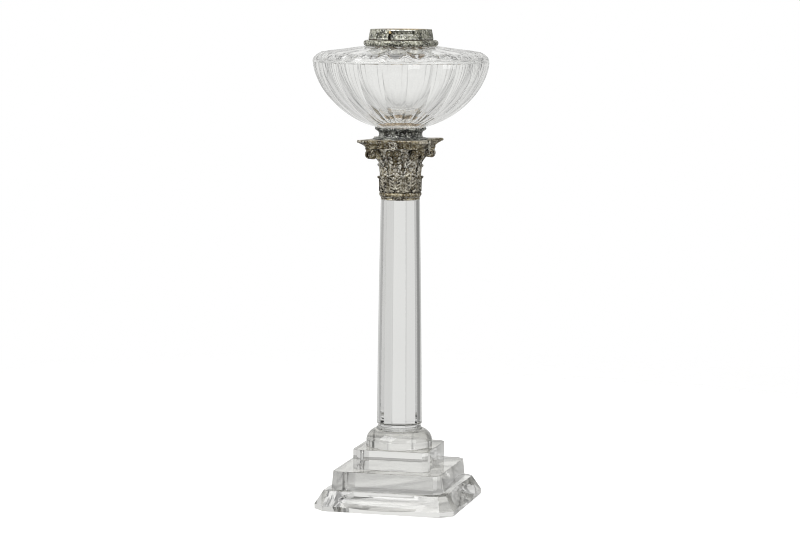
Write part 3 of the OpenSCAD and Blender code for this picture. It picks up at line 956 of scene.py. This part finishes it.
def make_bayonet_ring():
    """Tapered ring with an inturned lip and two angled slots, cut as open gaps in its wall."""
    bottom, top = span("bayonet_ring")
    low_r, high_r = 32.4 * MM, 30.6 * MM
    bore, lip = 29.4 * MM, 1.1 * MM
    ledge, roof = PIN_Z - SLOT_HALF, PIN_Z + SLOT_HALF
    slot_row, lip_row = 3, 5

    def wall(z):
        return lerp(low_r, high_r, (z - bottom) / (top - bottom))

    heights = [bottom, bottom + 0.3 * MM, lerp(bottom, ledge, 0.5), ledge, roof, top - 0.45 * MM,
               top - 0.12 * MM]
    outer = [(wall(z), z) for z in heights]
    outer[0] = (low_r - 0.3 * MM, bottom)
    outer[-1] = (outer[-1][0] - 0.2 * MM, outer[-1][1])
    inner = [(bore, z) for z in heights[:lip_row]] + [(bore, top - lip)]
    lip_outline = above(top, (26.35, -1.1), (26.2, -0.95), (26.2, -0.2), (26.4, 0), (29.85, 0))
    skins = (outer, inner, lip_outline)

    drop = asin(SLOT_HALF / wall(ledge))
    marks = [(SLOT_START + half + turn) % TURN for half in (0, pi) for turn in (-drop, drop, SLOT_TURN)]
    clear_of_marks = [a for a in around(360)
                      if all(min(abs(a - m), TURN - abs(a - m)) > 0.006 for m in marks)]
    angles = sorted(marks + clear_of_marks)
    size = len(angles)

    def is_open(row, j):
        """True where the wall between heights[row] and the next is cut away after angle j."""
        if row > slot_row:
            return False
        turn = (angles[j % size] - SLOT_START + drop + 1e-5) % pi
        return turn < (SLOT_TURN + drop if row == slot_row else 2 * drop)

    points, faces, index = [], [], {}

    def quad(*corners):
        """A face through (skin, row, angle) corners, which adds the points that are new."""
        face = []
        for skin, row, j in corners:
            key = (skin, row, j % size)
            if key not in index:
                index[key] = len(points)
                r, z = skins[skin][row]
                points.append(polar(ring_wear(r, angles[key[2]]), angles[key[2]], z))
            face.append(index[key])
        faces.append(tuple(face))

    for row in range(len(heights) - 1):
        over = row + 1
        for j in range(size):
            if is_open(row, j):
                continue
            quad((0, row, j), (0, row, j + 1), (0, over, j + 1), (0, over, j))
            if row == lip_row:
                continue
            quad((1, row, j), (1, over, j), (1, over, j + 1), (1, row, j + 1))
            if is_open(row, j + 1):
                quad((0, row, j + 1), (0, over, j + 1), (1, over, j + 1), (1, row, j + 1))
            if is_open(row, j - 1):
                quad((0, row, j), (1, row, j), (1, over, j), (0, over, j))
            if is_open(over, j):
                quad((0, over, j), (0, over, j + 1), (1, over, j + 1), (1, over, j))
            if row == 0 or is_open(row - 1, j):
                quad((0, row, j), (1, row, j), (1, row, j + 1), (0, row, j + 1))
    chain = [(1, lip_row)] + [(2, k) for k in range(len(lip_outline))] + [(0, len(heights) - 1)]
    for (skin, row), (next_skin, next_row) in zip(chain, chain[1:]):
        for j in range(size):
            quad((skin, row, j), (next_skin, next_row, j), (next_skin, next_row, j + 1), (skin, row, j + 1))
    return add_mesh("bayonet_ring_shell", points, faces, 35)


def make_band(name, node, outer, inner, edge):
    """A plain ring with rounded edges, as tall as its node."""
    bottom, top = span(node)
    outline = rounded([(inner, bottom), (inner, top), (outer, top), (outer, bottom)], edge)
    return revolve(name, outline[::-1], closed=True)


def make_sleeve():
    return make_band("burner_sleeve_tube", "burner_sleeve", reach("burner_sleeve"), 25 * MM, 0.25 * MM)


def make_washer():
    return make_band("packing_washer_ring", "packing_washer", 32 * MM, 29.4 * MM, 0.2 * MM)


def make_pins():
    """Two pins with domed heads."""
    parts = []
    for a in (SLOT_START, SLOT_START + pi):
        out, across = facing(a)
        rings = []
        for r, q in ((27.3, 1.25), (27.35, 1.4), (31.5, 1.4), (31.85, 1.28), (32.08, 0.95), (32.18, 0.45),
                     (32.2, 0.06)):
            rings.append(disc(out * r * MM + UP * PIN_Z, across, UP, q * MM, 28))
        parts.append(solid(rings))
    return merge("bayonet_pin_pair", parts)


def make_under_plaster():
    """Plaster that beds the font in the undermount, spread out under the bowl."""
    gap = 0.04 * MM
    outline = above(low("undermount_plaster"), (0.02, 0.02), (18.98, 0.02))
    outline += above(FONT_SEAT_Z, (18.98, -0.62), (23.5, -0.5), (24.1, -0.1), (24, -0.04))
    outline += [(PEG_R + gap, FONT_SEAT_Z - gap), (PEG_R + gap, FONT_SEAT_Z - PEG_H - gap),
                (0.02 * MM, FONT_SEAT_Z - PEG_H - gap)]
    return revolve("undermount_plaster_bed", outline, 120)


def make_collar_plaster():
    """Plaster between the font's neck and the collar, with a thin bed under the bead."""
    back = NECK_R / MM - 0.05
    outline = above(SHOULDER_Z, (back, 0.6), (25.7, 0.04), (34.6, -0.01), (34.7, 0.2), (27.15, 0.25))
    outline += above(high("collar_plaster"), (27.15, -0.5), (26.2, -0.1), (back, -0.3))
    return revolve("collar_plaster_bed", outline, closed=True)


def make_column_plaster():
    """Plaster round and above the column's tenon, inside the bell."""
    lap, tenon, bore = 0.04, TENON_R / MM, BELL_BORE / MM - 0.05
    outline = above(low("column_plaster"), (tenon - lap, 0.6), (tenon + 0.6, 0.05), (bore, 0.05))
    outline += above(high("column_plaster"), (bore, 0), (0.02, 0))
    outline += above(high("column"), (0.02, -lap), (tenon - 0.5, -lap), (tenon - lap, -0.5))
    return revolve("column_plaster_fill", outline, 120)


# ------------ Materials


def rgba(value):
    """A colour for a socket. A single number is a grey, and another node's socket stays as it is."""
    if isinstance(value, bpy.types.NodeSocket):
        return value
    return (value, value, value, 1) if isinstance(value, (int, float)) else (*value, 1)


class Nodes:
    """Adds nodes to a tree and links them."""

    def __init__(self, tree):
        self.tree = tree

    def feed(self, item, inputs):
        """Links a node's inputs to the sockets given, and sets those that get a plain value."""
        for key, value in inputs.items():
            if isinstance(value, bpy.types.NodeSocket):
                self.tree.links.new(value, item.inputs[key])
            else:
                item.inputs[key].default_value = value

    def add(self, kind, inputs=None, **settings):
        item = self.tree.nodes.new(kind)
        for key, value in settings.items():
            setattr(item, key, value)
        self.feed(item, inputs or {})
        return item

    def ramp(self, source, stops):
        """Colour ramp; stops are (position, grey or colour)."""
        item = self.add("ShaderNodeValToRGB", {"Fac": source})
        elements = item.color_ramp.elements
        while len(elements) < len(stops):
            elements.new(0.5)
        for element, (position, tone) in zip(elements, stops):
            element.position = position
            element.color = rgba(tone)
        return item.outputs["Color"]

    def mix(self, share, a, b, mode="MIX"):
        """Colour a where the share is 0 and b where it is 1."""
        item = self.add("ShaderNodeMix", data_type="RGBA", blend_type=mode)
        self.feed(item, {0: share, 6: rgba(a), 7: rgba(b)})
        return item.outputs[2]

    def math(self, operation, a, b=0.0, clamp=False):
        return self.add("ShaderNodeMath", {0: a, 1: b}, operation=operation, use_clamp=clamp).outputs[0]

    def vector(self, operation, inputs, output):
        return self.add("ShaderNodeVectorMath", inputs, operation=operation).outputs[output]

    def ease(self, value, start, end, at_start=0.0, at_end=1.0):
        """A smooth step between two values."""
        inputs = {"Value": value, "From Min": start, "From Max": end, "To Min": at_start, "To Max": at_end}
        return self.add("ShaderNodeMapRange", inputs, interpolation_type="SMOOTHSTEP").outputs["Result"]


class Paint(Nodes):
    """A node material built around one Principled shader."""

    def __init__(self, name):
        self.material = bpy.data.materials.new(name)
        self.material.use_nodes = True
        super().__init__(self.material.node_tree)
        self.shader = next(n for n in self.tree.nodes if n.type == "BSDF_PRINCIPLED")
        self.place = self.add("ShaderNodeTexCoord").outputs["Object"]

    def noise(self, scale, detail=4.0, roughness=0.55, distortion=0.0):
        inputs = {"Vector": self.place, "Scale": scale, "Detail": detail, "Roughness": roughness,
                  "Distortion": distortion}
        return self.add("ShaderNodeTexNoise", inputs).outputs["Fac"]

    def bump(self, height, strength, distance, **over):
        """A bump; another one that it lies over can be passed as Normal."""
        inputs = {"Height": height, "Strength": strength, "Distance": distance, **over}
        return self.add("ShaderNodeBump", inputs).outputs["Normal"]

    def done(self, color, roughness, normal=None, **others):
        """The finished material."""
        inputs = {"Base Color": rgba(color), "Roughness": roughness, **others}
        if normal is not None:
            inputs["Normal"] = normal
        self.feed(self.shader, inputs)
        return self.material


def shade(color, share):
    return tuple(c * share for c in color)


def glass_material(name, tint, waviness, smear=0.03):
    """Clear old glass: faint waviness, and a hint of smear where it has been handled."""
    paint = Paint(name)
    tone = paint.ramp(paint.noise(9, 2), [(0.3, shade(tint, 0.985)), (0.7, tint)])
    rough = paint.ramp(paint.noise(38, 5, 0.62, 0.4), [(0.56, 0.0), (0.78, smear)])
    wave = paint.bump(paint.noise(22, 1.5), waviness, 1 * MM)
    return paint.done(tone, rough, wave, **{"IOR": 1.5, "Transmission Weight": 1.0})


def metal_material(name, tones, deep, pale_wear_and_sheen, recess, wear, metallic, speckle, pale_edge_range=(0.525, 0.6), pale_edge_gaps=0.42):
    """Tarnished plated metal: patchy tones, painted shade in the recesses, pale edges that are part rubbed
    wear and part painted highlight, and pitting.
    """
    paint = Paint(name)
    patches = paint.noise(115, 6, 0.62, 0.6)
    blotches = paint.math("MULTIPLY", paint.noise(330, 3, 0.5, 0.4), 0.5)
    blotches = paint.math("ADD", paint.math("MULTIPLY", patches, 0.5), blotches)
    base = paint.ramp(blotches, list(zip((0.41, 0.465, 0.52, 0.59), tones)))
    flecks = paint.ramp(paint.noise(700, 3, 0.55), [(0.555, 0.0), (0.61, 1.0)])
    base = paint.mix(paint.math("MULTIPLY", flecks, speckle), base, pale_wear_and_sheen)
    specks = paint.ramp(paint.noise(480, 3, 0.5), [(0.395, 1.0), (0.44, 0.0)])
    base = paint.mix(paint.math("MULTIPLY", specks, speckle * 1.2, clamp=True), base, deep)
    # Painted shade: recesses found by ambient occlusion are darkened towards the deep colour, and made
    # rougher.
    hollow = paint.add("ShaderNodeAmbientOcclusion", {"Distance": 3.2 * MM}, samples=6).outputs["AO"]
    recess_shade = paint.ramp(hollow, [(0.28, 1.0), (0.86, 0.0)])
    base = paint.mix(paint.math("MULTIPLY", recess_shade, recess), base, deep)
    # Pale convex edges: rubbed-through wear that also serves as a painted highlight.
    edges = paint.add("ShaderNodeNewGeometry").outputs["Pointiness"]
    edges = paint.ramp(edges, list(zip(pale_edge_range, (0.0, 1.0))))
    patchy = paint.ramp(paint.noise(300, 3), [(pale_edge_gaps, 0.0), (pale_edge_gaps + 0.14, wear)])
    base = paint.mix(paint.math("MULTIPLY", edges, patchy), base, pale_wear_and_sheen)
    roughness = paint.mix(recess_shade, paint.ramp(paint.noise(240, 4), [(0.35, 0.34), (0.65, 0.62)]), 0.8)
    pits = paint.bump(paint.noise(1300, 3, 0.6), 0.35, 0.12 * MM)
    relief = paint.bump(paint.noise(420, 5, 0.6), 0.5, 0.3 * MM, Normal=pits)
    shine = paint.ramp(patches, [(0.3, metallic * 0.7), (0.62, metallic)])
    return paint.done(base, roughness, relief, Metallic=shine)


def plaster_material(name, pale, shaded_brown):
    """Old plaster: mottled and grainy, pale in the middle and a darker brown further out; that brown is kept
    dark as painted shade, since the glass above it casts no shadow.
    """
    paint = Paint(name)
    flat = paint.vector("MULTIPLY", {0: paint.place, 1: (1, 1, 0)}, "Vector")
    outer_share = paint.ease(paint.vector("LENGTH", {0: flat}, "Value"), 15.5 * MM, 18 * MM)
    mottle = paint.noise(170, 6, 0.6, 0.5)
    clean = paint.ramp(mottle, [(0.36, shade(pale, 0.8)), (0.6, pale)])
    # Painted shade: the outer brown is darkened to stand in for the shadow that the glass doesn't cast.
    shaded_outer = paint.ramp(mottle, [(0.36, shade(shaded_brown, 0.4)), (0.54, shaded_brown), (0.7, shade(shaded_brown, 1.3))])
    dots = paint.ramp(paint.noise(520, 2), [(0.3, 1.0), (0.36, 0.0)])
    tone = paint.mix(dots, paint.mix(outer_share, clean, shaded_outer), shade(shaded_brown, 0.25))
    grain = paint.bump(paint.noise(1500, 3), 0.5, 0.15 * MM)
    return paint.done(tone, 0.85, grain, **{"Specular IOR Level": 0.3})


def leather_material(name):
    paint = Paint(name)
    tone = paint.ramp(paint.noise(380, 5), [(0.35, (0.018, 0.013, 0.009)), (0.65, (0.07, 0.047, 0.03))])
    cells = paint.add("ShaderNodeTexVoronoi", {"Vector": paint.place, "Scale": 1700.0}).outputs["Distance"]
    return paint.done(tone, 0.7, paint.bump(cells, 0.5, 0.12 * MM), **{"Specular IOR Level": 0.35})


# The tints differ from piece to piece: darker copies of one clear glass, set as painted shade to dim pieces
# that render too bright.
base_glass = glass_material("base_glass", (0.935, 0.933, 0.922), 0.10)
plinth_glass = glass_material("plinth_glass", (0.905, 0.903, 0.893), 0.10)
foot_glass = glass_material("foot_glass", (0.925, 0.923, 0.912), 0.10)
column_glass = glass_material("column_glass", (0.877, 0.879, 0.874), 0.05)
font_glass = glass_material("font_glass", (0.99, 0.991, 0.986), 0.16)
cement = glass_material("clear_cement", (0.99, 0.99, 0.98), 0.02, 0.05)
plaster = plaster_material("plaster", (0.56, 0.54, 0.5), (0.29, 0.23, 0.16))
leather = leather_material("washer_leather")
CAPITAL_TONES = ((0.016, 0.01, 0.003), (0.064, 0.045, 0.016), (0.142, 0.114, 0.06), (0.29, 0.258, 0.178))
PLATED_TONES = ((0.02, 0.02, 0.015), (0.11, 0.109, 0.081), (0.24, 0.237, 0.186), (0.42, 0.42, 0.355))
UNDER_TONES = ((0.008, 0.008, 0.006), (0.036, 0.036, 0.03), (0.125, 0.127, 0.108), (0.38, 0.385, 0.35))
BRASS_TONES = ((0.13, 0.085, 0.035), (0.26, 0.18, 0.08), (0.34, 0.25, 0.12), (0.42, 0.33, 0.18))
capital_metal = metal_material("capital_metal", CAPITAL_TONES, (0.004, 0.0025, 0.001), (0.8, 0.78, 0.71),
                               1.0, 0.75, 0.6, 0.5, (0.518, 0.585), 0.38)
# Painted shade: the lower leaves get a darker copy of the capital metal, to dim leaves that render brighter
# than the rest.
darkened_leaf_metal = metal_material("darkened_leaf_metal", [shade(tone, 0.5) for tone in CAPITAL_TONES], (0.003, 0.002, 0.001),
                            (0.56, 0.53, 0.45), 1.0, 0.65, 0.55, 0.45, (0.52, 0.6), 0.4)
plated_metal = metal_material("plated_metal", PLATED_TONES, (0.006, 0.006, 0.004), (0.82, 0.82, 0.76),
                              0.98, 1.0, 0.66, 0.62)
under_metal = metal_material("under_metal", UNDER_TONES, (0.004, 0.004, 0.003), (0.82, 0.83, 0.79),
                             1.0, 1.0, 0.66, 0.66)
brass = metal_material("bare_brass", BRASS_TONES, (0.03, 0.02, 0.01), (0.6, 0.5, 0.3), 0.8, 0.5, 0.9, 0.5)


# ------------ Assembly


def dress(body, node, piece, material):
    """Gives a finished piece its material and its body, and hides the CAD node that it stands for."""
    piece.data.materials.append(material)
    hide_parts(node)
    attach(piece, body)


dress("stand", "foot", make_foot(), foot_glass)
for plinth, half_side, clip, draft in (("lower_plinth", LOWER_HALF, LOWER_CLIP, LOWER_DRAFT),
                                       ("upper_plinth", UPPER_HALF, UPPER_CLIP, 0)):
    dress("stand", plinth, make_plinth(plinth, half_side, clip, draft), plinth_glass)
dress("stand", "round_tier", make_tier(), base_glass)
dress("stand", "column", make_column(), column_glass)
dress("stand", "glass_cement", make_joints(), cement)
dress("stand", "column_plaster", make_column_plaster(), plaster)
dress("stand", "ferrule", make_ferrule(), capital_metal)
dress("stand", "astragal", make_astragal(), capital_metal)
dress("stand", "capital_bell", make_bell(), capital_metal)
dress("stand", "lower_leaves", make_lower_leaves(), darkened_leaf_metal)
dress("stand", "upper_leaves", make_upper_leaves(), capital_metal)
dress("stand", "helices", make_helices(), capital_metal)
dress("stand", "corner_volutes", make_corner_volutes(), capital_metal)
dress("stand", "fleurons", make_fleurons(), capital_metal)
dress("stand", "abacus", make_abacus(), capital_metal)
for material_slot in frame["nodes"]["font_socket"].material_slots:
    material_slot.material = brass

dress("seat", "seat_ring", make_seat_ring(), under_metal)
dress("font", "undermount", make_undermount(), under_metal)
dress("font", "undermount_plaster", make_under_plaster(), plaster)
dress("font", "font", make_font(), font_glass)
dress("font", "collar_plaster", make_collar_plaster(), plaster)
dress("font", "burner_collar", make_collar(), plated_metal)
dress("font", "bayonet_pins", make_pins(), brass)
dress("washer", "packing_washer", make_washer(), leather)
dress("ring", "bayonet_ring", make_bayonet_ring(), plated_metal)
dress("ring", "burner_sleeve", make_sleeve(), brass)


# ------------ Floor, light and camera

VIEW_TURN = radians(14.73)
VIEW_DIP = radians(6.37)
VIEW_ROLL = radians(0.26)
VIEW_DISTANCE = 2.5270
AIM_Z = 0.2384
LIGHT_AIM_Z = 0.25

# The studio that the glass and metal see. Walls and table hold (degrees to the right of the view, tone)
# stops. The others hold stops by height, with 0 straight down, 0.5 level and 1 straight up.
STUDIO_WALLS = (
    (-180, 0.5), (-125, 0.5), (-119, 0.72), (-84, 0.72), (-82, 0.12), (-67, 0.12), (-65, 0.7), (-57.5, 0.72),
    (-56.5, 0.33), (-49.5, 0.33), (-48.5, 0.76), (-17.4, 0.84), (-17, 0.5), (-15, 0.5), (-14.6, 0.88),
    (12.5, 0.88), (12.9, 0.55), (14.9, 0.55), (15.3, 0.74), (37.5, 0.69), (38.2, 0.05), (44, 0.05),
    (44.7, 0.68), (51, 0.66), (52, 0.35), (58, 0.35), (59, 0.65), (66, 0.6), (67, 0.14), (79, 0.14),
    (80, 0.6))
STUDIO_TABLE = ((-180, 0.5), (-120, 0.45), (-75, 0.42), (-55, 0.6), (-45, 0.7), (0, 0.72), (45, 0.7),
                (55, 0.6), (75, 0.42), (120, 0.45), (180, 0.5))
STUDIO_ROOF = ((0, 0.2), (0.83, 0.2), (0.84, 0.25), (0.9, 0.3), (0.915, 0.92), (1, 0.95))
ROOF_SHARE = ((0, 0), (0.82, 0), (0.835, 1), (1, 1))
TABLE_SHARE = ((0, 1), (0.36, 1), (0.40, 0), (1, 0))
BRIGHTNESS = ((0, 0.25), (0.1, 0.25), (0.16, 1), (0.322, 1), (0.324, 0.72), (0.342, 0.72), (0.344, 1),
              (0.556, 1), (0.559, 0.6), (0.574, 0.6), (0.577, 1), (1, 1))


def make_floor():
    """Round pale floor that fades out well away from the lamp."""
    points, faces = solid([circle(r, -0.06 * MM, around(96)) for r in (0.02, 0.2, 0.5, 0.9, 1.3, 1.8)])
    faces.pop()  # the cap across the widest ring
    floor = add_mesh("floor", points, faces, 180)
    floor.data.flip_normals()
    paint = Paint("floor_white")
    grain = paint.ramp(paint.noise(6, 2), [(0.3, 0.88), (0.7, 0.9)])
    distance = paint.vector("LENGTH", {0: paint.place}, "Value")
    fade = paint.ease(distance, 0.35, 1.1, 1.0, 0.0)
    floor.data.materials.append(paint.done(grain, 0.9, **{"Specular IOR Level": 0.1, "Alpha": fade}))
    floor.visible_transmission = False
    floor.visible_glossy = False


def make_world():
    """White backdrop for the camera; a softly graded studio for light, glass and metal."""
    world = bpy.data.worlds.new("studio")
    bpy.context.scene.world = world
    world.use_nodes = True
    world.node_tree.nodes.clear()
    sky = Nodes(world.node_tree)

    def warm(stops):
        return [(position, (tone, tone, tone * 0.985)) for position, tone in stops]

    def compass(stops):
        return warm([((degrees_right + 180) / 360, tone) for degrees_right, tone in stops])

    place = sky.add("ShaderNodeTexCoord").outputs["Generated"]
    x, y, z = sky.add("ShaderNodeSeparateXYZ", {0: place}).outputs
    turn = sky.math("DIVIDE", sky.math("ARCTAN2", x, y), TURN)
    share = sky.math("FRACT", sky.math("ADD", turn, 0.5 + VIEW_TURN / TURN))
    height = sky.math("ADD", sky.math("MULTIPLY", z, 0.5), 0.5)
    walls = sky.mix(sky.ramp(height, ROOF_SHARE), sky.ramp(share, compass(STUDIO_WALLS)),
                    sky.ramp(height, warm(STUDIO_ROOF)))
    room = sky.mix(sky.ramp(height, TABLE_SHARE), walls, sky.ramp(share, compass(STUDIO_TABLE)))
    room = sky.mix(1, room, sky.ramp(height, BRIGHTNESS), "MULTIPLY")
    seen = sky.add("ShaderNodeLightPath").outputs["Is Camera Ray"]
    background = sky.add("ShaderNodeBackground", {"Color": sky.mix(seen, room, 1)})
    sky.add("ShaderNodeOutputWorld", {"Surface": background.outputs[0]})


def from_front(turn, rise):
    """Unit vector that turns from -Y towards +X and rises from level."""
    return Vector((sin(turn) * cos(rise), -cos(turn) * cos(rise), sin(rise)))


def add_softbox(name, azimuth, elevation, distance, width, height, power):
    """Rectangular area light that looks at the lamp. Azimuth 0 is towards -Y, positive towards +X."""
    light = bpy.data.lights.new(name, "AREA")
    light.shape = "RECTANGLE"
    light.size = width
    light.size_y = height
    light.energy = power
    holder = bpy.data.objects.new(name, light)
    direction = from_front(radians(azimuth), radians(elevation))
    holder.location = UP * LIGHT_AIM_Z + direction * distance
    holder.rotation_euler = (-direction).to_track_quat("-Z", "Y").to_euler()
    holder.visible_transmission = False
    bpy.context.scene.collection.objects.link(holder)


def make_camera():
    """Camera at the photograph's viewing angle."""
    data = bpy.data.cameras.new("camera")
    data.lens = 113.3
    data.sensor_width = 36
    data.clip_start = 0.05
    data.clip_end = 50
    camera = bpy.data.objects.new("camera", data)
    camera.location = UP * AIM_Z + from_front(VIEW_TURN, VIEW_DIP) * VIEW_DISTANCE
    level = Euler((pi / 2 - VIEW_DIP, 0, VIEW_TURN)).to_matrix()
    camera.rotation_euler = (level @ Euler((0, 0, VIEW_ROLL)).to_matrix()).to_euler()
    bpy.context.scene.collection.objects.link(camera)
    bpy.context.scene.camera = camera


make_camera()
make_floor()
make_world()
add_softbox("key", -38, 40, 1.9, 1.7, 1.5, 34)
add_softbox("fill", 58, 8, 1.9, 1.2, 1.5, 15)
add_softbox("top", -20, 76, 1.6, 2.0, 2.0, 18)

settings = bpy.context.scene
settings.view_settings.view_transform = "Standard"
settings.view_settings.look = "None"
settings.cycles.filter_width = 1.0
settings.cycles.max_bounces = 32
settings.cycles.transmission_bounces = 28
settings.cycles.glossy_bounces = 28
settings.cycles.transparent_max_bounces = 16
settings.cycles.blur_glossy = 0.3
settings.cycles.sample_clamp_indirect = 4

for thing in bpy.context.scene.objects:
    if thing.type == "MESH" and thing.name.endswith("_glass"):
        thing.visible_shadow = False
